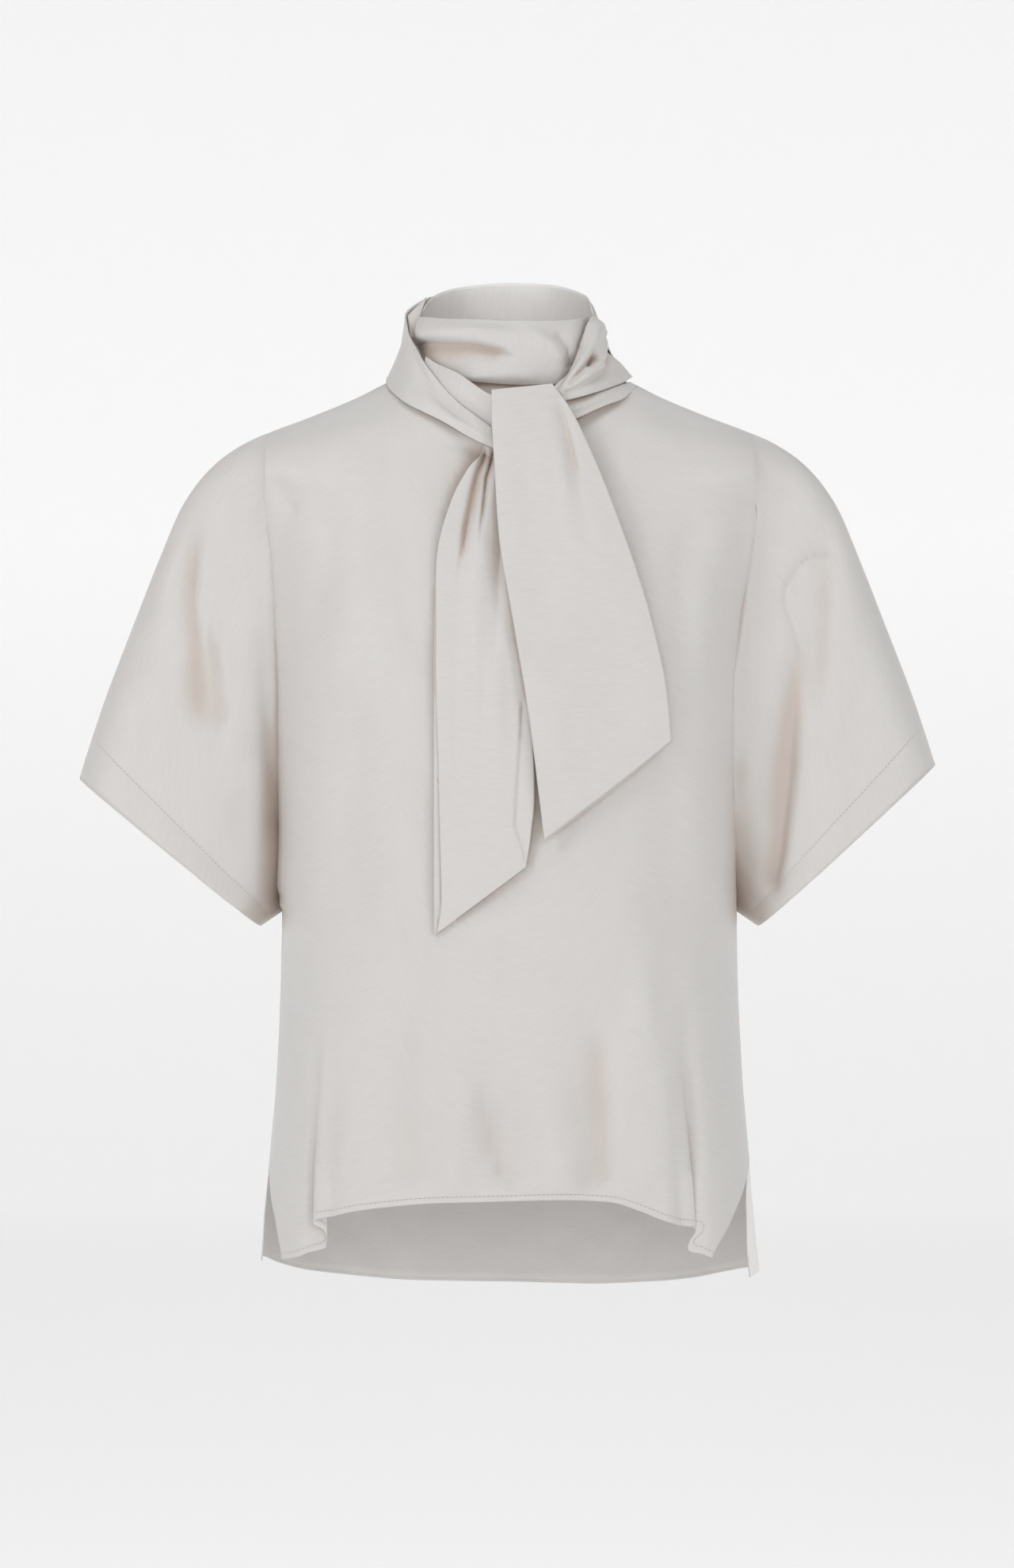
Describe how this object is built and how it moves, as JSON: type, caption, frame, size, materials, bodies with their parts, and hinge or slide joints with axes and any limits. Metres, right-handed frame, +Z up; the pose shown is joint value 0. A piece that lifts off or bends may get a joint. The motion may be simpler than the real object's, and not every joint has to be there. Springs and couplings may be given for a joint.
{
  "type": "tie neck blouse",
  "caption": "Loose satin blouse with wide short sleeves, side slits, a longer back hem and a high wound collar tied at the front.",
  "frame": {"origin": "middle of the neck opening, level with the inner ends of the shoulder seams, where the wearer's shoulders hold the blouse", "axes": "+X to the wearer's left, -Y to the front, +Z up"},
  "size_m": [0.6341, 0.2413, 0.752],
  "materials": {
    "satin": "soft satin, pale greige",
    "satin_shade": "the same satin on the inner turns of the collar"
  },
  "bodies": {
    "root": {"front_panel": "satin", "back_panel": "satin", "collar_back_band": "satin", "collar_stand_front": "satin_shade", "collar_wrap_front": "satin", "collar_turn_outer": "satin", "collar_fold_left_inner": "satin_shade", "collar_band_right_lower": "satin", "tie_front": "satin", "tie_back": "satin"}
  },
  "joints": []
}
